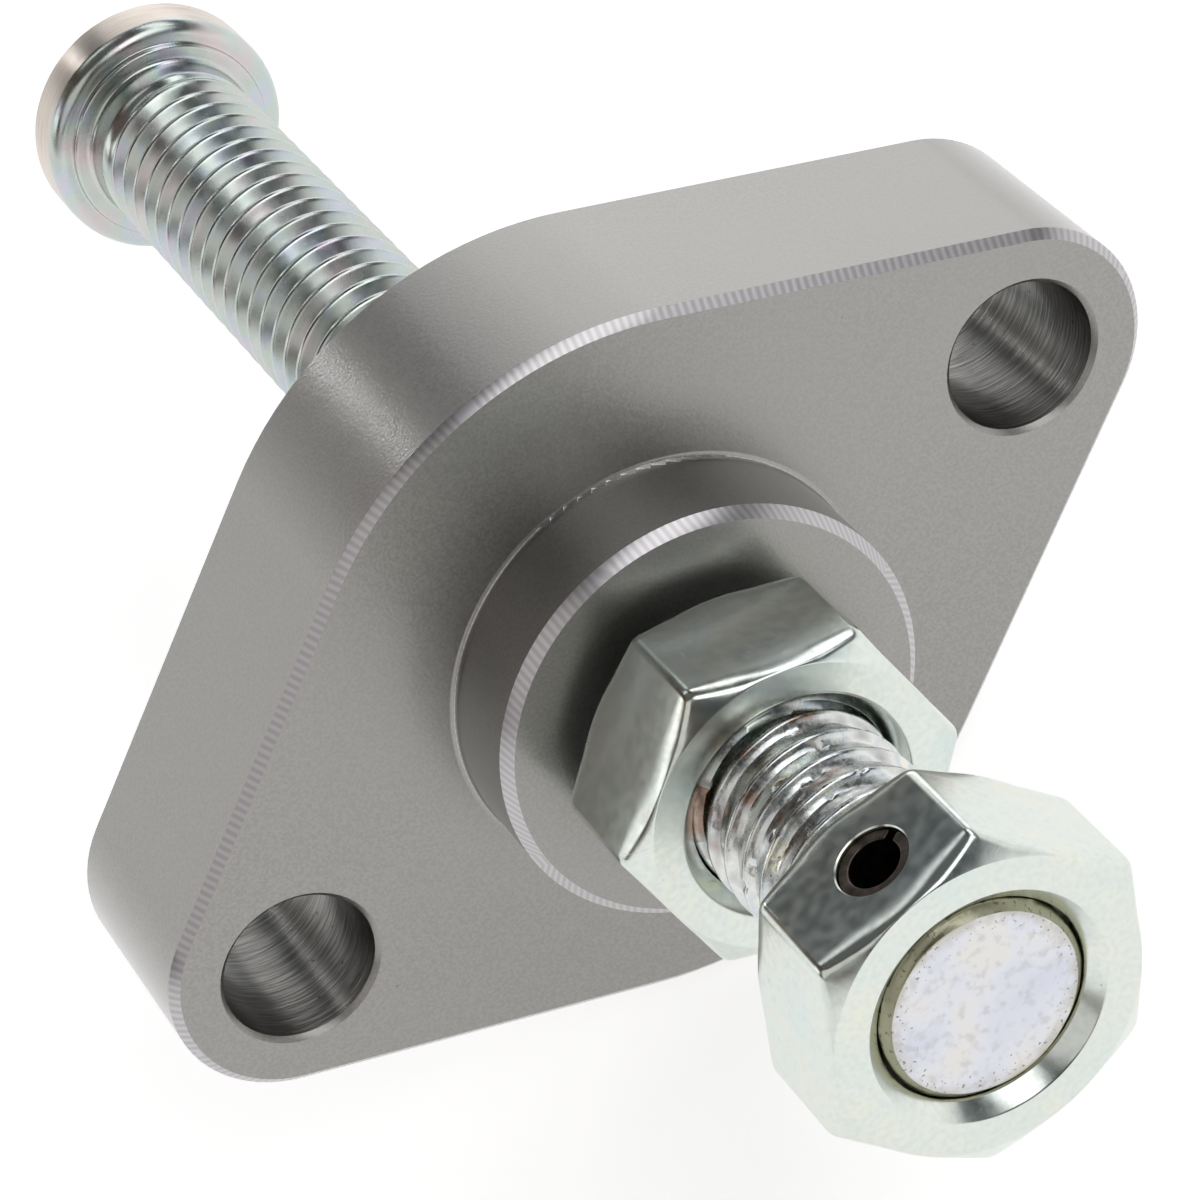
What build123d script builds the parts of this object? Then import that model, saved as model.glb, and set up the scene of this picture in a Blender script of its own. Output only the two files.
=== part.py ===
from build123d import *
import os
from math import cos, radians, tan

# Manual cam chain tensioner, in millimetres.
# The origin is the middle of the flange's mounting face. The adjuster's axis is Y: the pad points into the
# engine along +Y and the nuts stand outside along -Y. The two mounting holes lie on X, and Z is up.

# Thread, 5/16 inch with 18 turns to the inch. Its outer diameter is modelled, with room to run in the
# tapped hole and in the nuts.
thread_diameter = 7.9
running_clearance = 0.06

# Flange plate
plate_thickness = 9.525
hole_spacing = 36.0
hole_diameter = 6.2
hole_chamfer = 0.2
lobe_radius = 5.25
centre_radius = 14.9
plate_front_chamfer = 0.35
plate_back_chamfer = 0.2

# Boss that the lock nut jams against
boss_radius = 8.65
boss_height = 4.5
boss_chamfer = 0.42
boss_base_fillet = 0.25
tapped_hole_chamfer = 0.6

# Adjuster bolt, whose head is turned down to a round pad
bolt_reach = 43.4
bolt_length = 78.3
end_chamfer = 0.35
head_overhang = 1.75
head_thickness = 3.2
head_face_chamfer = 0.3
head_edge_fillet = 0.7
head_cone_drop = 0.35
washer_face_width = 0.8
washer_face_height = 0.3
neck_fillet = 0.5

# Nuts
nut_width = 12.1
nut_thickness = 5.8
nut_chamfer_angle = 45.0
corner_to_flat_angle = 30.0
nut_face_inset = 0.15
nut_corner_rounding = 0.45
nut_countersink = 0.64
lock_nut_gap = 1.15
lock_nut_angle = 95.8
drive_nut_angle = 122.8
bolt_end_recess = 0.35

# Slotted spring pin through the drive nut and the bolt
pin_diameter = 2.8
pin_wall = 0.4
pin_slot = 0.35
pin_slot_angle = 115.0
pin_recess = 0.15
pin_offset = -0.38
pin_hole_clearance = 0.02
pin_hole_chamfer = 0.1

# Stations along the axis, counted from the mounting face towards the nuts
boss_top = plate_thickness + boss_height
lock_nut_back = boss_top + lock_nut_gap
bolt_end = bolt_length - bolt_reach
drive_nut_front = bolt_end + bolt_end_recess
drive_nut_back = drive_nut_front - nut_thickness
pin_station = drive_nut_back + nut_thickness / 2

# Radii that follow from the sizes above
shank_radius = thread_diameter / 2
bore_radius = shank_radius + running_clearance
head_radius = shank_radius + head_overhang
washer_face_radius = shank_radius + washer_face_width
nut_face_radius = nut_width / 2 - nut_face_inset
corner_radius = nut_width / 2 / cos(radians(corner_to_flat_angle))
pin_hole_radius = pin_diameter / 2 + pin_hole_clearance

# Sketches across the axis: their x is +X, their y is +Z and they grow towards the nuts
across = Plane(origin=(0, 0, 0), x_dir=(1, 0, 0), z_dir=(0, -1, 0))

# Profiles through the axis: x is the radius and y is the station
lengthwise = Plane(origin=(0, 0, 0), x_dir=(1, 0, 0), z_dir=(0, 0, -1))


def hex_nut(back, corner_angle):
    """A plain hex nut, chamfered on both faces and countersunk at both ends of its bore."""
    front = back + nut_thickness
    corner_drop = (corner_radius - nut_face_radius) * tan(radians(nut_chamfer_angle))
    sink_radius = bore_radius + nut_countersink
    with BuildPart() as nut:
        with BuildSketch(across.offset(back)):
            hexagon = RegularPolygon(corner_radius, 6, rotation=corner_angle)
            fillet(hexagon.vertices(), radius=nut_corner_rounding)
        extrude(amount=nut_thickness)
        with BuildSketch(lengthwise):
            with BuildLine():
                Polyline(
                    (bore_radius, back + nut_countersink),
                    (sink_radius, back),
                    (nut_face_radius, back),
                    (corner_radius, back + corner_drop),
                    (corner_radius, front - corner_drop),
                    (nut_face_radius, front),
                    (sink_radius, front),
                    (bore_radius, front - nut_countersink),
                    close=True,
                )
            make_face()
        revolve(axis=Axis.Y, mode=Mode.INTERSECT)
    return nut.part


def cross_plane():
    """The plane across the spring pin, at the pin's middle and square to one pair of the nut's flats."""
    flat_angle = drive_nut_angle - corner_to_flat_angle
    side_shift = Vector(pin_offset, 0, 0).rotate(Axis.Y, -(flat_angle + 90))
    place = Vector(0, -pin_station, 0) + side_shift
    pin_direction = Vector(1, 0, 0).rotate(Axis.Y, -flat_angle)
    return Plane(origin=place, x_dir=(0, -1, 0), z_dir=pin_direction)


# Flange: plate, boss, tapped hole and mounting holes, machined from one block
with BuildPart() as flange_body:
    with BuildSketch(across):
        Circle(centre_radius)
        with GridLocations(hole_spacing, 0, 2, 1):
            Circle(lobe_radius)
        make_hull()
    extrude(amount=plate_thickness)
    plate_faces = flange_body.faces().filter_by(Axis.Y).sort_by(Axis.Y)
    chamfer(plate_faces[0].edges(), length=plate_front_chamfer)
    chamfer(plate_faces[-1].edges(), length=plate_back_chamfer)
    with BuildSketch(across.offset(plate_thickness)):
        Circle(boss_radius)
    extrude(amount=boss_height)
    boss_rim = flange_body.faces().filter_by(Axis.Y).sort_by(Axis.Y)[0].edges()
    chamfer(boss_rim, length=boss_chamfer)
    boss_foot = flange_body.faces().filter_by(Axis.Y).sort_by(Axis.Y)[1].inner_wires().edges()
    fillet(boss_foot, radius=boss_base_fillet)
    with BuildSketch(lengthwise):
        with BuildLine():
            Polyline(
                (0, 0),
                (bore_radius + tapped_hole_chamfer, 0),
                (bore_radius, tapped_hole_chamfer),
                (bore_radius, boss_top - tapped_hole_chamfer),
                (bore_radius + tapped_hole_chamfer, boss_top),
                (0, boss_top),
                close=True,
            )
        make_face()
    revolve(axis=Axis.Y, mode=Mode.SUBTRACT)
    with BuildSketch(across):
        with GridLocations(hole_spacing, 0, 2, 1):
            Circle(hole_diameter / 2)
    extrude(amount=plate_thickness, mode=Mode.SUBTRACT)
    hole_rims = flange_body.edges().filter_by(
        lambda edge: edge.geom_type == GeomType.CIRCLE and abs(edge.radius - hole_diameter / 2) < 0.001
    )
    chamfer(hole_rims, length=hole_chamfer)
flange_body.part.label = "flange_body"

# Adjuster bolt: head and shank in one piece, drilled across for the spring pin
with BuildPart() as adjuster_bolt:
    underside = -bolt_reach
    cone_edge = underside - head_cone_drop
    pad_face = underside - head_thickness
    end_radius = shank_radius - end_chamfer
    with BuildSketch(lengthwise):
        with BuildLine():
            Polyline(
                (0, pad_face),
                (head_radius, pad_face),
                (head_radius, cone_edge),
                (washer_face_radius, underside - washer_face_height),
                (washer_face_radius, underside),
                (shank_radius, underside),
                (shank_radius, bolt_end - end_chamfer),
                (end_radius, bolt_end),
                (0, bolt_end),
                close=True,
            )
        make_face()
    revolve(axis=Axis.Y)
    rims = adjuster_bolt.edges().filter_by(GeomType.CIRCLE)
    chamfer(rims.sort_by_distance((head_radius, -pad_face, 0))[0], length=head_face_chamfer)
    rims = adjuster_bolt.edges().filter_by(GeomType.CIRCLE)
    fillet(rims.sort_by_distance((head_radius, -cone_edge, 0))[0], radius=head_edge_fillet)
    rims = adjuster_bolt.edges().filter_by(GeomType.CIRCLE)
    fillet(rims.sort_by_distance((shank_radius, -underside, 0))[0], radius=neck_fillet)
    with BuildSketch(cross_plane()):
        Circle(pin_hole_radius)
    extrude(amount=nut_width, both=True, mode=Mode.SUBTRACT)
adjuster_bolt.part.label = "adjuster_bolt"

# Lock nut, backed off the boss
with BuildPart() as lock_nut:
    add(hex_nut(lock_nut_back, lock_nut_angle))
lock_nut.part.label = "lock_nut"

# Drive nut at the bolt's outer end, drilled across with the bolt
with BuildPart() as drive_nut:
    add(hex_nut(drive_nut_back, drive_nut_angle))
    with BuildSketch(cross_plane()):
        Circle(pin_hole_radius)
    extrude(amount=nut_width, both=True, mode=Mode.SUBTRACT)
    pin_rims = drive_nut.edges().filter_by(
        lambda edge: edge.geom_type == GeomType.CIRCLE and abs(edge.radius - pin_hole_radius) < 0.001
    )
    chamfer(pin_rims, length=pin_hole_chamfer)
drive_nut.part.label = "drive_nut"

# Spring pin: a slotted tube, a little short of the nut's flats
with BuildPart() as roll_pin:
    with BuildSketch(cross_plane()):
        Circle(pin_diameter / 2)
        Circle(pin_diameter / 2 - pin_wall, mode=Mode.SUBTRACT)
        with Locations(Location((0, 0, 0), (0, 0, pin_slot_angle))):
            Rectangle(pin_diameter, pin_slot, align=(Align.MIN, Align.CENTER), mode=Mode.SUBTRACT)
    extrude(amount=nut_width / 2 - pin_recess, both=True)
roll_pin.part.label = "roll_pin"

os.makedirs("parts", exist_ok=True)
for piece in (flange_body, adjuster_bolt, lock_nut, drive_nut, roll_pin):
    export_step(piece.part, f"parts/{piece.part.label}.step")
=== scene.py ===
from math import asin, atan2, cos, hypot, pi, radians, sin, tan, tau
import bmesh
import bpy
from mathutils import Matrix, Vector, noise


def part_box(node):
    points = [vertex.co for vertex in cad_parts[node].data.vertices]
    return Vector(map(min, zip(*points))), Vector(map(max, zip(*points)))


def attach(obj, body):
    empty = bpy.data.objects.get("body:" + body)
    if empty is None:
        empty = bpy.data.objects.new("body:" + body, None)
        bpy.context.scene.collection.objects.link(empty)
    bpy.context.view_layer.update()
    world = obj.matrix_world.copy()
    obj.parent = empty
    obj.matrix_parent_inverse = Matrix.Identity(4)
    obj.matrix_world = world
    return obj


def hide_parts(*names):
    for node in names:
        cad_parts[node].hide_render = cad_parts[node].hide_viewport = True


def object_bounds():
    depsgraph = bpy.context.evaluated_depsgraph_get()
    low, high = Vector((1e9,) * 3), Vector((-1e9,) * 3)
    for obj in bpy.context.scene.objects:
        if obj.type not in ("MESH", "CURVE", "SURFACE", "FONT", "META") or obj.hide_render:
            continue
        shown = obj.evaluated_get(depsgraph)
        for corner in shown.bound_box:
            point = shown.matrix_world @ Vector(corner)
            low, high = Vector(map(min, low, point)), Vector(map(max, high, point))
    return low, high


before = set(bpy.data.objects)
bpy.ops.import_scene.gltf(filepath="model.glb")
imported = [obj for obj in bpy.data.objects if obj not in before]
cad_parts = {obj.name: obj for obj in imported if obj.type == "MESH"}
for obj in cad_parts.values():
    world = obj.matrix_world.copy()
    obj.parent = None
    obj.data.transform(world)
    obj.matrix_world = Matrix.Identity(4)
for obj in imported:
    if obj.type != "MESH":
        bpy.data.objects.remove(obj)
cad_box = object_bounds()

# Millimetres, for sizes written as a workshop would
mm = 0.001

# Camera: a long lens, looking down on the nuts and rolled by 38 degrees
camera_aim = Vector((-0.02, -1.52, -1.96)) * mm
camera_distance = 196.04 * mm
camera_azimuth = radians(-3.01)
camera_elevation = radians(37.84)
camera_roll = radians(38.36)
camera_lens = 148.63
camera_sensor = 36.0

# Thread of the adjuster bolt: 5/16 inch, 18 turns to the inch, right-handed
pitch = 25.4 / 18 * mm
crest_radius = 3.95 * mm
root_radius = 3.09 * mm
steps_per_turn = 72

# Flange: the outline is a hull round the middle circle and the two ears
centre_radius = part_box("flange_body")[1][2]
ear_radius = 5.25 * mm
ear_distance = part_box("flange_body")[1][0] - ear_radius
bore_radius = 3.1 * mm

# Its edges are rounded where the surface turns by more than the least turn
flange_rounding = 0.05 * mm
flange_least_turn = radians(24)

# The mill's cuts along its chamfers, in millimetres apart, and how far they waver, as an angle
cut_spacing = 0.33
cut_waver = 2.5

# How far from their axes the boss, the tapped hole's wall and a mounting hole's chamfers reach at most
boss_reach = 10 * mm
tapped_reach = 4.2 * mm
hole_reach = 4.0 * mm

# Stations of the bolt along Y, from its ends in the frame
bolt_low, bolt_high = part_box("adjuster_bolt")
pad_face = bolt_high[1]
bolt_end = bolt_low[1]
head_radius = bolt_high[0]
head_thickness = 3.2 * mm
underside = pad_face - head_thickness
cone_edge = underside + 0.35 * mm
washer_radius = 4.75 * mm
washer_foot = underside + 0.3 * mm
neck_length = 0.9 * mm
pad_chamfer = 0.3 * mm
turned_start = cone_edge + 0.62 * mm
turned_depth = 0.12 * mm
end_chamfer = 0.35 * mm
end_radius = crest_radius - end_chamfer

# The bolt's shading stays sharp where its surface turns by more than this
bolt_sharp_turn = radians(40)

# The thread runs out between these distances from the neck, and comes in between these from the bolt's end
run_out_start, run_out_end = 1.6 * pitch, 0.2 * pitch
lead_in_start, lead_in_end = 0.5 * mm, 1.2 * mm

# The stretch between the nuts, where the thread is pitted and worn down to worn_depth of its depth
worn_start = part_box("drive_nut")[1][1] - 0.3 * mm
worn_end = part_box("lock_nut")[0][1] + 0.6 * mm
worn_depth = 0.42
worn_fade = 0.5 * mm
worn_grain_size, worn_grain_depth = 1.1 * mm, 0.035 * mm
worn_pit_size, worn_pit_depth = 0.5 * mm, 0.1 * mm
worn_pit_start, worn_pit_full = 0.48, 0.62
worn_border_size, worn_border_depth = 1.2 * mm, 1.4 * mm

# Spring pin, and the hole drilled for it through the drive nut and the bolt
pin_low, pin_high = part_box("roll_pin")
pin_hole_radius = 1.42 * mm
pin_hole_rim = 0.05 * mm
pin_lean = radians(2.8)
pin_rounding = 0.08 * mm
pin_least_turn = radians(40)

# Nuts: half their width over the flats, and the sizes of their section
nut_apothem = 6.05 * mm
nut_corner_rounding = 0.45 * mm
nut_face_radius = 5.9 * mm
nut_cone_angle = radians(30)
nut_bore_radius = 4.01 * mm
nut_sink_radius = 4.65 * mm
nut_sharp_turn = radians(35)

# How far the roundings of that section run from its corners. The roll onto a flat is longest in the flat's
# middle: towards the corners it loses nut_roll_loss of what the outline gains in reach.
nut_bore_roll = 0.1 * mm
nut_sink_roll = 0.08 * mm
nut_face_roll = 0.05 * mm
nut_cone_start_roll = 0.03 * mm
nut_cone_end_roll = 0.35 * mm
nut_flat_roll = 0.95 * mm
nut_roll_loss = 0.6

# Steps round the nuts, and the angles of their corners from X towards Z
nut_steps = 240
lock_nut_corner = radians(95.8)
drive_nut_corner = radians(122.8)

# Studio: the floor's size and glow, and a dark ceiling that starts at that height and slopes down in front
floor_half_width = 3.0
floor_glow = 0.65
ceiling_start = 0.256
ceiling_slope = 0.207
ceiling_blend = 0.05
ceiling_left = (0.070, 0.048, 0.034)
ceiling_right = (0.034, 0.042, 0.050)
ceiling_middle = (0.12, 0.12, 0.12)

# Soft lights: name, azimuth (0 in front of the nuts, 90 on +X), elevation, width and height in metres, and
# brightness, where 1 is white. They all stand at one distance from the flange.
lamp_distance = 0.5
softboxes = (
    ("key softbox", 38, 42, (0.46, 0.22), 2.0),
    ("high right softbox", 105, 42, (0.40, 0.13), 2.0),
    ("left softbox", -112, 31, (0.34, 0.13), 1.5),
    ("left front softbox", -42, 35, (0.40, 0.36), 0.7),
    ("back strip", -169, 31, (0.035, 0.06), 8),
    ("back right softbox", 158, 32, (0.20, 0.14), 1.0),
    ("back high softbox", 178, 62, (0.25, 0.12), 1.0),
    ("right back softbox", 146, 14, (0.3, 0.2), 0.5),
)


def new_object(name, bm):
    """A mesh as an object in the scene."""
    mesh = bpy.data.meshes.new(name)
    bm.to_mesh(mesh)
    bm.free()
    thing = bpy.data.objects.new(name, mesh)
    bpy.context.collection.objects.link(thing)
    return thing


def new_piece(name, bm, body):
    """A visible piece of the part, riding on its body."""
    piece = new_object(name, bm)
    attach(piece, body)
    return piece


def apply_modifiers(piece):
    """Keeps the piece's modified shape as its own mesh."""
    shaped = piece.evaluated_get(bpy.context.evaluated_depsgraph_get())
    mesh = bpy.data.meshes.new_from_object(shaped)
    piece.modifiers.clear()
    piece.data = mesh


def node_copy(node):
    """A node's shape as one closed mesh, with each flat face in one piece."""
    bm = bmesh.new()
    bm.from_mesh(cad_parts[node].data)
    bmesh.ops.remove_doubles(bm, verts=bm.verts, dist=0.002 * mm)
    bmesh.ops.dissolve_limit(bm, angle_limit=radians(0.2), verts=bm.verts, edges=bm.edges)
    return bm


def round_corners(piece, widths):
    """Rounds the piece's corners, each as wide as widths says of its edge, and keeps its flat faces flat."""
    largest = max(widths.values())
    weights = piece.data.attributes.new("bevel_weight_edge", "FLOAT", "EDGE")
    for index, width in widths.items():
        weights.data[index].value = width / largest
    rounding = piece.modifiers.new("corners", "BEVEL")
    rounding.limit_method = "WEIGHT"
    rounding.width = largest
    rounding.segments = 4
    rounding.profile = 0.5
    rounding.use_clamp_overlap = True
    piece.data.shade_smooth()
    weighted = piece.modifiers.new("flat faces stay flat", "WEIGHTED_NORMAL")
    weighted.keep_sharp = True
    apply_modifiers(piece)
    piece.data.attributes.remove(piece.data.attributes["bevel_weight_edge"])


def sharp_edges(bm, least_turn):
    """The edges where the surface turns by more than least_turn."""
    bm.edges.index_update()
    return [e for e in bm.edges if len(e.link_faces) == 2 and e.calc_face_angle() > least_turn]


def smoothstep(low, high, value):
    """0 below low, 1 above high, and an even rise between them."""
    part = min(max((value - low) / (high - low), 0.0), 1.0)
    return part * part * (3 - 2 * part)


def spin_profile(bm, places, steps, axis=(0, 1, 0), closed=False, **options):
    """Spins a line through the places once round an axis through the origin."""
    points = [bm.verts.new(place) for place in places]
    nexts = points[1:] + points[:1] if closed else points[1:]
    lines = [bm.edges.new(pair) for pair in zip(points, nexts)]
    bmesh.ops.spin(
        bm, geom=points + lines, cent=(0, 0, 0), axis=axis, angle=tau, steps=steps, use_duplicate=False,
        **options,
    )


# One turn of the thread: how far along the pitch, and how deep below the crest, as shares of both
thread_profile = (
    (0.00, 0.00),
    (0.05, 0.01),
    (0.09, 0.06),
    (0.12, 0.14),
    (0.17, 0.28),
    (0.34, 0.75),
    (0.39, 0.88),
    (0.44, 0.97),
    (0.50, 1.00),
    (0.56, 0.97),
    (0.61, 0.88),
    (0.66, 0.75),
    (0.83, 0.28),
    (0.88, 0.14),
    (0.91, 0.06),
    (0.95, 0.01),
    (1.00, 0.00),
)


def threaded_bar():
    """The thread as it leaves the die: one turn spun from its profile, and repeated along the axis."""
    bar = bmesh.new()
    start = bolt_end - 2 * pitch
    places = []
    for along, depth in thread_profile:
        radius = crest_radius - depth * (crest_radius - root_radius)
        places.append((radius, start + along * pitch, 0))
    spin_profile(bar, places, steps_per_turn, dvec=(0, pitch / steps_per_turn, 0), use_merge=False)
    one_turn = bar.verts[:] + bar.edges[:] + bar.faces[:]
    turns = int((underside - bolt_end) / pitch) + 4
    for turn in range(1, turns):
        copy = bmesh.ops.duplicate(bar, geom=one_turn)["geom"]
        verts = [part for part in copy if isinstance(part, bmesh.types.BMVert)]
        bmesh.ops.translate(bar, verts=verts, vec=(0, turn * pitch, 0))
    bmesh.ops.remove_doubles(bar, verts=bar.verts, dist=0.001 * mm)
    return bar


def worn(y):
    """1 on the worn stretch of the thread, 0 on the sound ones."""
    after_start = smoothstep(worn_start - worn_fade, worn_start, y)
    after_end = smoothstep(worn_end, worn_end + worn_fade, y)
    return after_start * (1 - after_end)


def dress_thread(bolt, neck):
    """Runs the thread out towards the head, fills and dents it between the nuts, and chamfers its end."""
    depth = crest_radius - root_radius
    for vert in bolt.verts:
        x, y, z = vert.co
        radius = hypot(x, z)
        wear = worn(y)
        if wear > 0:
            filled = max(radius, crest_radius - worn_depth * depth)
            grain = noise.noise(vert.co / worn_grain_size) * worn_grain_depth
            pit = noise.noise(vert.co / worn_pit_size + Vector((7, 3, 5)))
            pit = smoothstep(worn_pit_start, worn_pit_full, pit) * worn_pit_depth
            filled = min(filled + grain - pit, crest_radius)
            wanted = radius + wear * (filled - radius)
        else:
            wanted = radius
        run_out = smoothstep(neck - run_out_start, neck - run_out_end, y)
        wanted += run_out * (crest_radius - wanted)
        lead_in = smoothstep(bolt_end + lead_in_start, bolt_end + lead_in_end, y)
        wanted += (1 - lead_in) * (crest_radius - wanted)
        wanted = min(wanted, end_radius + max(y - bolt_end, 0))
        vert.co = (x * wanted / radius, y, z * wanted / radius)


def trim(bm, station, side):
    """Cuts away what lies beyond a station of the axis, on the side given as 1 or -1."""
    geometry = bm.verts[:] + bm.edges[:] + bm.faces[:]
    bmesh.ops.bisect_plane(
        bm, geom=geometry, dist=0.0005 * mm, plane_co=(0, station, 0), plane_no=(0, side, 0),
        clear_outer=True,
    )


def rim(bm, radius, station):
    """The edges of the circle of that radius at that station."""
    found = []
    for edge in bm.edges:
        ends = [(hypot(v.co.x, v.co.z), v.co.y) for v in edge.verts]
        if all(abs(r - radius) < 0.01 * mm and abs(y - station) < 0.01 * mm for r, y in ends):
            found.append(edge)
    return found


def make_adjuster_bolt():
    """Head and threaded shank in one piece, drilled across for the pin."""
    bolt = threaded_bar()
    neck = underside - neck_length
    worn_faces = [f for f in bolt.faces if worn(f.calc_center_median().y) > 0]
    worn_lines = list({edge for face in worn_faces for edge in face.edges})
    bmesh.ops.subdivide_edges(bolt, edges=worn_lines, cuts=1, use_grid_fill=True)
    dress_thread(bolt, neck)
    trim(bolt, neck, 1)
    trim(bolt, bolt_end, -1)
    end_loop = [e for e in bolt.edges if e.is_boundary and abs(e.verts[0].co.y - bolt_end) < 0.01 * mm]
    bmesh.ops.edgeloop_fill(bolt, edges=end_loop)

    head_profile = (
        (0, pad_face),
        (head_radius - pad_chamfer, pad_face),
        (head_radius, pad_face - pad_chamfer),
        (head_radius, cone_edge),
        (washer_radius, washer_foot),
        (washer_radius, underside),
        (crest_radius, underside),
        (crest_radius, neck),
    )
    spin_profile(bolt, [(radius, y, 0) for radius, y in head_profile], steps_per_turn, use_merge=True)
    bmesh.ops.remove_doubles(bolt, verts=bolt.verts, dist=0.001 * mm)
    rounded_rims = (
        (head_radius, cone_edge, 0.7 * mm),
        (washer_radius, underside, 0.17 * mm),
        (washer_radius, washer_foot, 0.12 * mm),
        (crest_radius, underside, 0.3 * mm),
    )
    for radius, station, width in rounded_rims:
        bmesh.ops.bevel(
            bolt, geom=rim(bolt, radius, station), offset=width, segments=5, profile=0.5, affect="EDGES",
            material=-1,
        )
    bmesh.ops.bridge_loops(bolt, edges=[e for e in bolt.edges if e.is_boundary])
    bmesh.ops.recalc_face_normals(bolt, faces=bolt.faces)
    piece = new_piece("adjuster_bolt_threaded", bolt, "adjuster")
    drill_cross_hole(piece)
    piece.data.shade_smooth()
    piece.data.set_sharp_from_angle(angle=bolt_sharp_turn)
    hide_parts("adjuster_bolt")
    finishes = (bright_zinc(), turned_steel(), stained_end_and_rim_shade(), worn_thread(), grime_and_painted_shade())
    dress(piece, finishes, bolt_finish)


def bolt_finish(face):
    """The finish of a bolt's face: 0 zinc, 1 turned head, 2 end face, 3 worn thread, 4 grimy thread."""
    x, y, z = face.center
    if y > turned_start and hypot(x, z) > head_radius - turned_depth or y > pad_face - pad_chamfer:
        return 1
    if y < bolt_end + end_chamfer and face.normal.y < -0.5:
        return 2
    # The thread in the drive nut's mouth, darkened with grime and painted shade
    if y < bolt_end + 3 * pitch:
        return 4
    waver = noise.noise(Vector(face.center) / worn_border_size) * worn_border_depth
    if worn(y + waver) > 0.5:
        return 3
    return 0


def drill_cross_hole(piece):
    """Drills the hole for the spring pin, flared where it leaves the nut's flats."""
    reach = nut_apothem + 1 * mm
    flare = nut_apothem - pin_hole_rim
    drill_profile = (
        (0, -reach),
        (pin_hole_radius + reach - flare, -reach),
        (pin_hole_radius, -flare),
        (pin_hole_radius, flare),
        (pin_hole_radius + reach - flare, reach),
        (0, reach),
    )
    drill = bmesh.new()
    places = [(radius, 0, along) for radius, along in drill_profile]
    spin_profile(drill, places, 64, axis=(0, 0, 1), use_merge=True)
    bmesh.ops.remove_doubles(drill, verts=drill.verts, dist=0.001 * mm)
    bmesh.ops.recalc_face_normals(drill, faces=drill.faces)
    middle = (Vector(pin_low) + Vector(pin_high)) / 2
    lean = Matrix.Rotation(pin_lean, 4, "Y")
    bmesh.ops.transform(drill, verts=drill.verts, matrix=Matrix.Translation(middle) @ lean.inverted())
    cutter = new_object("cross_drill", drill)
    cut = piece.modifiers.new("cross hole", "BOOLEAN")
    cut.operation = "DIFFERENCE"
    cut.solver = "EXACT"
    cut.object = cutter
    apply_modifiers(piece)
    bpy.data.objects.remove(cutter)


def make_flange():
    """Plate and boss, with the mill's marks along its chamfers."""
    bm = node_copy("flange_body")
    run = bm.loops.layers.uv.new("run")
    for face in bm.faces:
        for loop in face.loops:
            loop[run].uv = (chamfer_run(loop.vert.co) / mm, loop.vert.co.y / mm)
    corners = sharp_edges(bm, flange_least_turn)
    widths = {edge.index: flange_rounding for edge in corners}
    piece = new_piece("flange_machined", bm, "flange")
    dress(piece, (blasted_aluminium(), milled_chamfer(), bore_with_painted_shade()), flange_finish)
    round_corners(piece, widths)
    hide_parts("flange_body")


def chamfer_run(place):
    """How far along its edge a point of the outline or the boss lies, from the middle of a side."""
    x, z = abs(place.x), abs(place.z)
    from_middle = hypot(x, z)
    if from_middle < boss_reach:
        return from_middle * atan2(x, z)
    lean = asin((centre_radius - ear_radius) / ear_distance)
    straight = ear_distance * cos(lean)
    along = x * cos(lean) - z * sin(lean)
    if along < 0:
        return centre_radius * atan2(x, z)
    if along < straight:
        return centre_radius * lean + along
    return centre_radius * lean + straight + ear_radius * (atan2(x - ear_distance, z) - lean)


def flange_finish(face):
    """Which finish a face of the flange has: 0 blasted, 1 milled chamfer, 2 drilled or tapped hole."""
    x, _, z = face.center
    from_hole = hypot(abs(x) - ear_distance, z)
    facing = abs(face.normal.y)
    if facing < 0.1 and (from_hole < bore_radius + 0.02 * mm or hypot(x, z) < tapped_reach):
        return 2
    if face.normal.y < 0 and 0.6 < facing < 0.8 and from_hole > hole_reach:
        return 1
    return 0


def blend(before, corner, after, lengths):
    """Points that round a corner, from one length before it to another after it, where its sides allow."""
    corner = Vector(corner)
    ways = [Vector(end) - corner for end in (before, after)]
    start, end = (corner + way * min(length / way.length, 0.8) for way, length in zip(ways, lengths))
    steps = [step / 6 for step in range(7)]
    return [(1 - t) ** 2 * start + 2 * t * (1 - t) * corner + t * t * end for t in steps]


def nut_section(reach, front, back):
    """The nut cut through its axis where its outline is that far out, as points of radius and station."""
    drop = (reach - nut_face_radius) * tan(nut_cone_angle)
    sink = nut_sink_radius - nut_bore_radius
    roll = nut_flat_roll - nut_roll_loss * (reach - nut_apothem)
    corners = (
        (nut_bore_radius, front + sink, nut_bore_roll, nut_bore_roll),
        (nut_sink_radius, front, nut_sink_roll, nut_sink_roll),
        (nut_face_radius, front, nut_face_roll, nut_cone_start_roll),
        (reach, front + drop, nut_cone_end_roll, roll),
        (reach, back - drop, roll, nut_cone_end_roll),
        (nut_face_radius, back, nut_cone_start_roll, nut_face_roll),
        (nut_sink_radius, back, nut_sink_roll, nut_sink_roll),
        (nut_bore_radius, back - sink, nut_bore_roll, nut_bore_roll),
    )
    points = []
    for index, (radius, station, *lengths) in enumerate(corners):
        before = corners[index - 1][:2]
        after = corners[(index + 1) % len(corners)][:2]
        points += blend(before, (radius, station), after, lengths)
    return points


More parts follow.
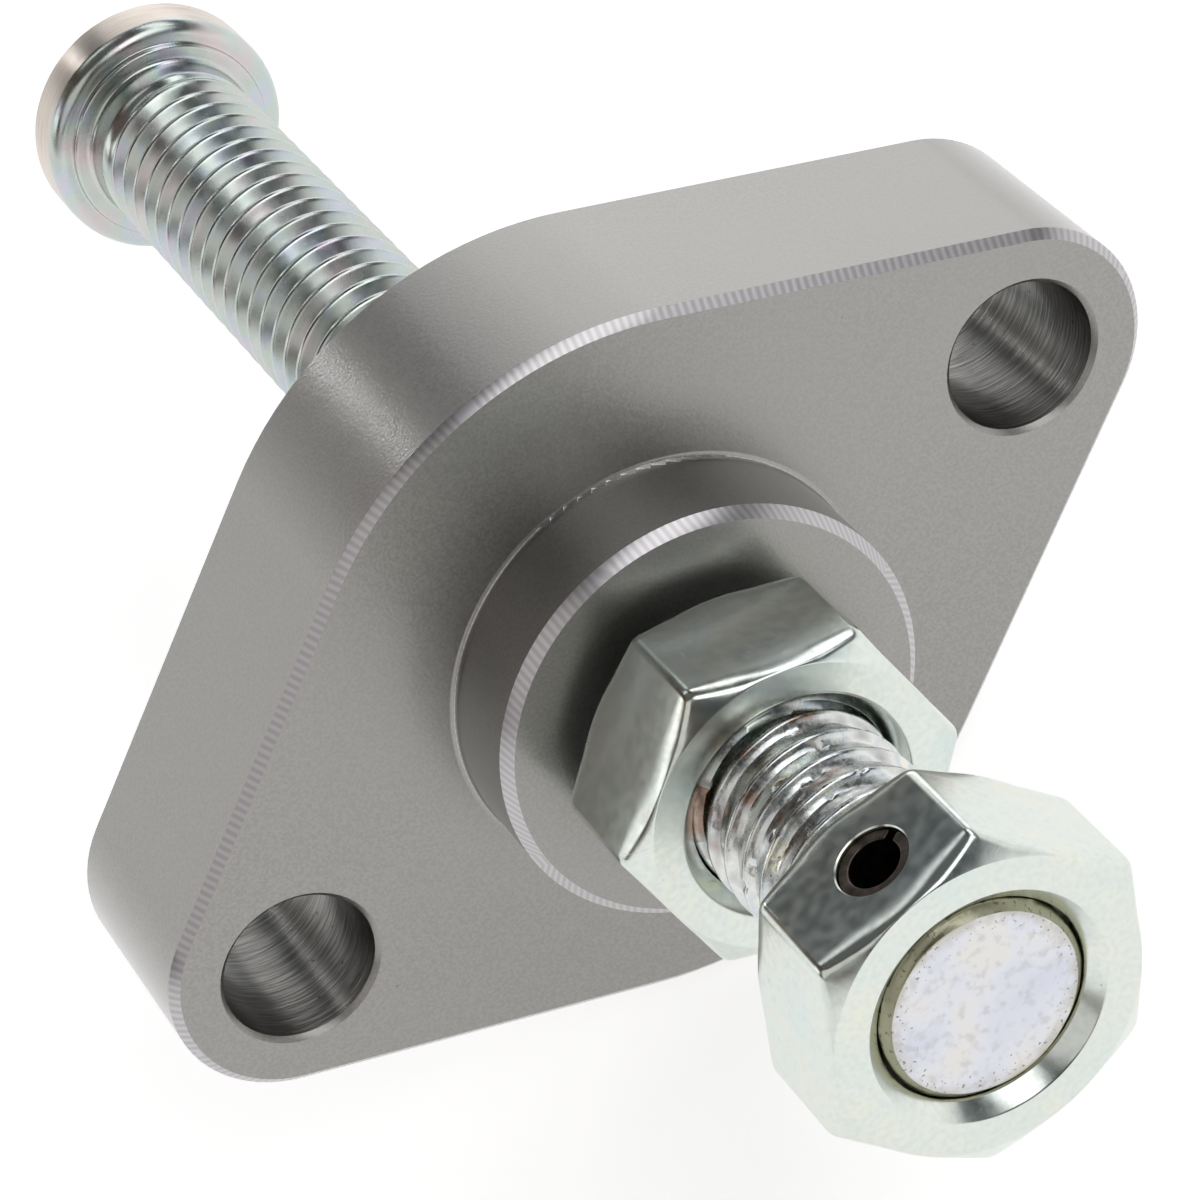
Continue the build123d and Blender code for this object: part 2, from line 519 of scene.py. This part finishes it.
def nut_outline(turn):
    """The rounded hexagon's angle and its reach from the axis, for a turn counted in sixths from a corner."""
    arc_share = 0.15
    sector = int(turn)
    part = turn - sector
    flat_half = (nut_apothem - nut_corner_rounding) * tan(pi / 6)
    if arc_share < part < 1 - arc_share:
        along = flat_half * (1 - 2 * (part - arc_share) / (1 - 2 * arc_share))
        return (sector + 0.5) * pi / 3 - atan2(along, nut_apothem), hypot(along, nut_apothem)
    side = part if part < 0.5 else part - 1
    bend = side / arc_share * pi / 6
    centre = (nut_apothem - nut_corner_rounding) / cos(pi / 6)
    x = centre + nut_corner_rounding * cos(bend)
    z = nut_corner_rounding * sin(bend)
    return (sector + (0 if part < 0.5 else 1)) * pi / 3 + atan2(z, x), hypot(x, z)


def make_nut(node, name, body, corner, finish):
    """A plated hex nut, chamfered and countersunk on both faces, its edges rounded by cold forming."""
    front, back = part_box(node)[0][1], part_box(node)[1][1]
    nut = bmesh.new()
    pattern = nut_section(nut_outline(0)[1], front, back)
    places = [(radius, station, 0) for radius, station in pattern]
    spin_profile(nut, places, nut_steps, closed=True, use_merge=True)
    for vert in nut.verts:
        x, y, z = vert.co
        here = Vector((hypot(x, z), y))
        index = min(range(len(pattern)), key=lambda i: (pattern[i] - here).length)
        angle, reach = nut_outline((atan2(z, x) / tau * 6) % 6)
        radius, station = nut_section(reach, front, back)[index]
        vert.co = (radius * cos(angle + corner), station, radius * sin(angle + corner))
    bmesh.ops.recalc_face_normals(nut, faces=nut.faces)
    piece = new_piece(name, nut, body)
    if node == "drive_nut":
        drill_cross_hole(piece)
    piece.data.shade_smooth()
    piece.data.set_sharp_from_angle(angle=nut_sharp_turn)
    dress(piece, (finish,))
    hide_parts(node)


def make_pin():
    """The slotted spring pin, its ends a little rounded."""
    bm = node_copy("roll_pin")
    widths = {edge.index: pin_rounding for edge in sharp_edges(bm, pin_least_turn)}
    piece = new_piece("roll_pin_driven", bm, "adjuster")
    dress(piece, (blued_spring_steel(),))
    round_corners(piece, widths)
    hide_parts("roll_pin")


def dress(piece, finishes, choose=None):
    """Gives the piece its finishes, and each of its faces the one that choose says."""
    piece.data.materials.clear()
    for finish in finishes:
        piece.data.materials.append(finish)
    if choose:
        for face in piece.data.polygons:
            face.material_index = choose(face)


def set_input(tree, node, name, value):
    """Gives an input of a shader node a value, or another node's output."""
    if isinstance(value, bpy.types.NodeSocket):
        tree.links.new(value, node.inputs[name])
    else:
        node.inputs[name].default_value = value


def add_node(tree, kind, inputs=None, **settings):
    """A shader node with its settings, and its inputs given as values or as other nodes' outputs."""
    node = tree.nodes.new(kind)
    for name, value in settings.items():
        setattr(node, name, value)
    for name, value in (inputs or {}).items():
        set_input(tree, node, name, value)
    return node


def metal(name):
    """A metallic material, for its colour and detail to be linked to."""
    material = bpy.data.materials.new(name)
    material.use_nodes = True
    shader = material.node_tree.nodes["Principled BSDF"]
    shader.inputs["Metallic"].default_value = 1
    return material, material.node_tree, shader


def placed(tree, scale=(1, 1, 1), turn=(0, 0, 0)):
    """The place on the object, stretched and turned."""
    place = add_node(tree, "ShaderNodeTexCoord").outputs["Object"]
    return add_node(tree, "ShaderNodeMapping", {"Vector": place, "Rotation": turn, "Scale": scale}).outputs[0]


def cloud(tree, place, size, detail=2.0):
    """Soft noise from 0 to 1, with patches of that size in metres."""
    inputs = {"Vector": place, "Scale": 1 / size, "Detail": detail}
    return add_node(tree, "ShaderNodeTexNoise", inputs).outputs["Fac"]


def share(tree, value, low, high, start=0.0, end=1.0):
    """Start below low, end above high, and a smooth change between them."""
    inputs = {"Value": value, "From Min": low, "From Max": high, "To Min": start, "To Max": end}
    return add_node(tree, "ShaderNodeMapRange", inputs, interpolation_type="SMOOTHSTEP").outputs["Result"]


def calculate(tree, operation, first, second):
    """One sum of two values."""
    return add_node(tree, "ShaderNodeMath", {0: first, 1: second}, operation=operation).outputs[0]


def mixed(tree, factor, first, second):
    """Two colours, mixed. A colour is a node's output or its red, green and blue."""
    first, second = ((*colour, 1) if isinstance(colour, tuple) else colour for colour in (first, second))
    node = add_node(tree, "ShaderNodeMix", data_type="RGBA")
    for index, value in ((0, factor), (6, first), (7, second)):
        set_input(tree, node, index, value)
    return node.outputs[2]


def tones(tree, value, *colours):
    """Colours spread evenly over the values from 0.3 to 0.7, where soft noise mostly lies."""
    node = add_node(tree, "ShaderNodeValToRGB", {"Fac": value})
    ramp = node.color_ramp
    for index, colour in enumerate(colours):
        position = 0.3 + 0.4 * index / (len(colours) - 1)
        if index < 2:
            stop = ramp.elements[index]
            stop.position = position
        else:
            stop = ramp.elements.new(position)
        stop.color = (*colour, 1)
    return node.outputs["Color"]


def relief(tree, height, depth, strength=1.0):
    """A bumped normal: height from 0 to 1 stands for that depth in metres."""
    inputs = {"Height": height, "Distance": depth, "Strength": strength}
    return add_node(tree, "ShaderNodeBump", inputs).outputs["Normal"]


def finish_metal(tree, shader, colour, roughness, normal):
    """Gives a metal its colour, its roughness (one value, or one that varies) and its relief."""
    set_input(tree, shader, "Base Color", colour)
    set_input(tree, shader, "Roughness", roughness)
    set_input(tree, shader, "Normal", normal)


def blasted_aluminium():
    """Warm grey satin, with a fine even grain and a few dark specks."""
    material, tree, shader = metal("blasted aluminium")
    place = placed(tree)
    colour = tones(tree, cloud(tree, place, 14 * mm), (0.275, 0.267, 0.252), (0.305, 0.297, 0.281))
    grain = cloud(tree, place, 0.13 * mm, 3)
    colour = mixed(tree, share(tree, grain, 0.3, 0.7), colour, (0.338, 0.330, 0.314))
    speck = share(tree, cloud(tree, place, 0.42 * mm, 1), 0.83, 0.87, 0.0, 0.6)
    colour = mixed(tree, speck, colour, (0.08, 0.075, 0.065))
    roughness = share(tree, grain, 0.25, 0.75, 0.35, 0.42)
    finish_metal(tree, shader, colour, roughness, relief(tree, grain, 0.010 * mm, 0.5))
    set_input(tree, shader, "Coat Weight", 0.8)
    set_input(tree, shader, "Coat Roughness", 0.15)
    set_input(tree, shader, "Coat Normal", relief(tree, grain, 0.015 * mm, 0.6))
    return material


def milled_chamfer():
    """Bright cuts side by side along the edge, as a mill's teeth leave them."""
    material, tree, shader = metal("milled chamfer")
    run = add_node(tree, "ShaderNodeUVMap", uv_map="run").outputs["UV"]
    along = add_node(tree, "ShaderNodeSeparateXYZ", {"Vector": run}).outputs["X"]
    waver = cloud(tree, placed(tree), 2.0 * mm)
    phase = calculate(tree, "MULTIPLY", along, tau / cut_spacing)
    phase = calculate(tree, "ADD", phase, calculate(tree, "MULTIPLY", waver, cut_waver))
    cuts = calculate(tree, "SINE", phase, 0.0)
    cuts = share(tree, cuts, -0.9, 0.9)
    colour = mixed(tree, cuts, (0.42, 0.405, 0.41), (0.53, 0.51, 0.53))
    finish_metal(tree, shader, colour, 0.3, relief(tree, cuts, 0.008 * mm, 0.15))
    return material


def bore_with_painted_shade():
    """A drilled hole's wall: streaked round the bore, with swarf marks, its tones kept dark as painted shade
    of the hole.
    """
    material, tree, shader = metal("reamed bore with painted shade")
    streaks = cloud(tree, placed(tree, (1, 14, 1)), 1.6 * mm, 4)
    # Painted shade: these tones are darker than the plate's, standing in for the shade inside the hole; the
    # streaks and swarf marks are real
    colour = tones(tree, streaks, (0.12, 0.117, 0.11), (0.20, 0.195, 0.186), (0.32, 0.313, 0.30))
    marks = share(tree, cloud(tree, placed(tree), 0.5 * mm, 2), 0.70, 0.78, 0.0, 0.85)
    colour = mixed(tree, marks, colour, (0.05, 0.045, 0.04))
    finish_metal(tree, shader, colour, 0.3, relief(tree, streaks, 0.02 * mm, 0.7))
    return material


def bright_zinc():
    """Clear-passivated zinc on the bolt: silver, with faint pink, green and blue tints."""
    material, tree, shader = metal("bright zinc")
    place = placed(tree)
    tint = cloud(tree, place, 2.6 * mm, 2)
    colour = tones(
        tree, tint, (0.62, 0.56, 0.56), (0.58, 0.59, 0.58), (0.54, 0.60, 0.55), (0.53, 0.59, 0.63),
        (0.60, 0.56, 0.62),
    )
    haze = cloud(tree, place, 1.1 * mm, 3)
    roughness = share(tree, haze, 0.3, 0.7, 0.20, 0.30)
    finish_metal(tree, shader, colour, roughness, relief(tree, haze, 0.02 * mm, 0.25))
    return material


def turned_steel():
    """The head's wall, turned after plating: beige steel with fine rings."""
    material, tree, shader = metal("turned steel")
    rings = cloud(tree, placed(tree, (1, 30, 1)), 2.4 * mm, 3)
    colour = tones(tree, rings, (0.54, 0.47, 0.40), (0.68, 0.61, 0.55), (0.64, 0.60, 0.57))
    finish_metal(tree, shader, colour, 0.3, relief(tree, rings, 0.012 * mm, 0.6))
    return material


def stained_end_and_rim_shade():
    """The bolt's end face: pale and bluish, stained and speckled towards its rim, with a dark olive ring at
    its rim that is partly dirt and partly painted shade of the gap by the nut.
    """
    material, tree, shader = metal("stained end with painted rim shade")
    place = placed(tree)
    colour = tones(
        tree, cloud(tree, place, 2.2 * mm), (0.64, 0.66, 0.74), (0.70, 0.71, 0.76), (0.74, 0.72, 0.68),
    )
    across = add_node(tree, "ShaderNodeVectorMath", {0: place, 1: (1, 0, 1)}, operation="MULTIPLY").outputs[0]
    radius = add_node(tree, "ShaderNodeVectorMath", {0: across}, operation="LENGTH").outputs["Value"]
    blot = cloud(tree, place, 0.6 * mm, 3)
    waver = calculate(tree, "MULTIPLY", blot, 1.5 * mm)
    stain = share(tree, calculate(tree, "ADD", radius, waver), 3.8 * mm, 4.6 * mm, 0.0, 0.75)
    colour = mixed(tree, stain, colour, (0.50, 0.47, 0.40))
    mottle = share(tree, cloud(tree, place, 0.35 * mm, 4), 0.48, 0.72, 0.0, 0.45)
    colour = mixed(tree, mottle, colour, (0.46, 0.46, 0.46))
    # Dirt and painted shade: a dark olive ring on the end's chamfer, in the gap by the nut's countersink
    edge = share(tree, radius, end_radius - 0.03 * mm, end_radius + 0.03 * mm, 0.0, 0.85)
    colour = mixed(tree, edge, colour, (0.36, 0.35, 0.23))
    speck = cloud(tree, place, 0.16 * mm, 3)
    near_rim = share(tree, radius, 2.0 * mm, 3.5 * mm, 0.78, 0.63)
    dots = calculate(tree, "GREATER_THAN", speck, near_rim)
    colour = mixed(tree, calculate(tree, "MULTIPLY", dots, 0.7), colour, (0.14, 0.12, 0.09))
    finish_metal(tree, shader, colour, 0.34, relief(tree, blot, 0.06 * mm, 0.7))
    return material


def worn_thread():
    """Where wrenches and grit have been: cream, brown and blue-grey patches, with pits."""
    material, tree, shader = metal("worn thread")
    place = placed(tree)
    patches = cloud(tree, placed(tree, (1, 2.2, 1)), 2.0 * mm, 2)
    colour = tones(
        tree, patches, (0.36, 0.26, 0.21), (0.50, 0.51, 0.51), (0.72, 0.73, 0.70), (0.60, 0.64, 0.67),
        (0.82, 0.80, 0.70),
    )
    grit = cloud(tree, place, 0.24 * mm, 3)
    colour = mixed(tree, share(tree, grit, 0.69, 0.75, 0.0, 0.85), colour, (0.08, 0.07, 0.055))
    roughness = share(tree, grit, 0.3, 0.7, 0.17, 0.30)
    finish_metal(tree, shader, colour, roughness, relief(tree, grit, 0.02 * mm, 0.3))
    return material


def grime_and_painted_shade():
    """The thread down in the drive nut's mouth, dark partly with old oil and partly as painted shade of the
    nut's mouth.
    """
    material, tree, shader = metal("grimy thread and painted shade")
    dirt = cloud(tree, placed(tree), 0.6 * mm, 3)
    # Grime and painted shade: dark olive tones for the thread inside the nut's mouth
    colour = tones(tree, dirt, (0.10, 0.09, 0.05), (0.22, 0.21, 0.14), (0.34, 0.33, 0.25))
    finish_metal(tree, shader, colour, 0.4, relief(tree, dirt, 0.03 * mm, 0.5))
    return material


def barrel_zinc():
    """Zinc on the nuts: pale, slightly green and cream, scratched and nicked in the plating barrel."""
    material, tree, shader = metal("barrel zinc")
    place = placed(tree)
    colour = tones(
        tree, cloud(tree, place, 3.2 * mm), (0.67, 0.74, 0.71), (0.71, 0.75, 0.70), (0.75, 0.76, 0.67),
    )
    fine = cloud(tree, place, 0.25 * mm, 4)
    colour = mixed(tree, share(tree, fine, 0.35, 0.75, 0.0, 0.4), colour, (0.58, 0.64, 0.62))
    scratches = 0.0
    for turn in ((0.4, 0.3, 1.1), (1.2, 0.8, 0.2), (2.3, 1.9, 0.7)):
        streak = cloud(tree, placed(tree, (1, 1, 26), turn), 3.0 * mm, 3)
        line = share(tree, streak, 0.74, 0.78)
        scratches = calculate(tree, "MAXIMUM", scratches, line)
    pits = share(tree, cloud(tree, place, 0.14 * mm, 2), 0.76, 0.80)
    colour = mixed(tree, calculate(tree, "MULTIPLY", pits, 0.75), colour, (0.12, 0.12, 0.10))
    haze = cloud(tree, place, 0.5 * mm, 3)
    roughness = share(tree, haze, 0.3, 0.7, 0.19, 0.25)
    roughness = calculate(tree, "ADD", roughness, calculate(tree, "MULTIPLY", scratches, 0.08))
    height = calculate(tree, "SUBTRACT", fine, calculate(tree, "ADD", scratches, pits))
    height = calculate(tree, "ADD", height, calculate(tree, "MULTIPLY", haze, 0.1))
    finish_metal(tree, shader, colour, roughness, relief(tree, height, 0.006 * mm, 0.3))
    return material


def blued_spring_steel():
    """Dark oxide, in soft patches of brown steel."""
    material, tree, shader = metal("blued spring steel")
    place = placed(tree)
    colour = tones(tree, cloud(tree, place, 0.5 * mm, 3), (0.035, 0.03, 0.025), (0.16, 0.13, 0.11))
    grain = cloud(tree, place, 0.15 * mm)
    finish_metal(tree, shader, colour, 0.34, relief(tree, grain, 0.02 * mm, 0.6))
    return material


def make_floor(level):
    """A pale floor that the object stands on."""
    bm = bmesh.new()
    bmesh.ops.create_grid(bm, x_segments=1, y_segments=1, size=floor_half_width)
    bmesh.ops.translate(bm, verts=bm.verts, vec=(0, 0, level))
    floor_piece = new_object("floor", bm)
    material = bpy.data.materials.new("pale floor")
    material.use_nodes = True
    tree = material.node_tree
    tree.nodes.clear()
    rays = add_node(tree, "ShaderNodeLightPath").outputs
    seen = calculate(tree, "MAXIMUM", rays["Is Camera Ray"], rays["Is Glossy Ray"])
    seen = calculate(tree, "MAXIMUM", seen, rays["Is Transmission Ray"])
    paint = add_node(tree, "ShaderNodeBsdfDiffuse", {"Color": (0.85, 0.85, 0.85, 1)})
    glow = add_node(tree, "ShaderNodeEmission", {"Color": (1, 1, 1, 1), "Strength": floor_glow})
    both = add_node(tree, "ShaderNodeAddShader", {0: paint.outputs[0], 1: glow.outputs[0]})
    choice = add_node(tree, "ShaderNodeMixShader", {0: seen, 1: paint.outputs[0], 2: both.outputs[0]})
    add_node(tree, "ShaderNodeOutputMaterial", {"Surface": choice.outputs[0]})
    dress(floor_piece, (material,))


def make_world():
    """A studio with pale walls and a dark ceiling, so that plated metal shows both."""
    world = bpy.data.worlds.new("studio")
    bpy.context.scene.world = world
    world.use_nodes = True
    tree = world.node_tree
    tree.nodes.clear()
    direction = add_node(tree, "ShaderNodeTexCoord").outputs["Generated"]
    height = add_node(tree, "ShaderNodeVectorMath", {0: direction, 1: (0, -ceiling_slope, 1)},
                      operation="DOT_PRODUCT").outputs["Value"]
    wall = share(tree, height, ceiling_start - ceiling_blend, ceiling_start + ceiling_blend, 1.0, 0.0)
    parts = add_node(tree, "ShaderNodeSeparateXYZ", {"Vector": direction})
    side = share(tree, parts.outputs["X"], -0.35, 0.05)
    overhead = share(tree, parts.outputs["Z"], 0.85, 1.0)
    ceiling = mixed(tree, side, ceiling_left, ceiling_right)
    ceiling = mixed(tree, overhead, ceiling, ceiling_middle)
    light = add_node(tree, "ShaderNodeBackground", {"Color": mixed(tree, wall, ceiling, (1, 1, 1))})
    add_node(tree, "ShaderNodeOutputWorld", {"Surface": light.outputs[0]})


def add_softbox(name, azimuth, elevation, size, brightness):
    """A soft light that faces the object."""
    lamp = bpy.data.lights.new(name, "AREA")
    lamp.shape = "RECTANGLE"
    lamp.size, lamp.size_y = size
    lamp.energy = brightness * pi * size[0] * size[1]
    softbox = bpy.data.objects.new(name, lamp)
    bpy.context.collection.objects.link(softbox)
    turn = Matrix.Rotation(radians(azimuth), 4, "Z") @ Matrix.Rotation(radians(90 - elevation), 4, "X")
    softbox.matrix_world = turn @ Matrix.Translation((0, 0, lamp_distance))


def make_camera():
    """The photograph's viewing angle."""
    lens = bpy.data.cameras.new("camera")
    lens.lens = camera_lens
    lens.sensor_width = camera_sensor
    lens.sensor_fit = "HORIZONTAL"
    lens.clip_start = 10 * mm
    lens.clip_end = 20
    camera = bpy.data.objects.new("camera", lens)
    bpy.context.collection.objects.link(camera)
    turn = Matrix.Rotation(camera_azimuth, 4, "Z") @ Matrix.Rotation(pi / 2 - camera_elevation, 4, "X")
    away = turn @ Vector((0, 0, camera_distance))
    camera.matrix_world = Matrix.Translation(camera_aim + away) @ turn @ Matrix.Rotation(-camera_roll, 4, "Z")
    bpy.context.scene.camera = camera


make_flange()
make_adjuster_bolt()
nut_zinc = barrel_zinc()
make_nut("lock_nut", "lock_nut_plated", "lock_nut", lock_nut_corner, nut_zinc)
make_nut("drive_nut", "drive_nut_plated", "adjuster", drive_nut_corner, nut_zinc)
make_pin()

make_floor(cad_box[0][2])
make_world()
for settings in softboxes:
    add_softbox(*settings)
make_camera()

bpy.context.scene.view_settings.view_transform = "Standard"
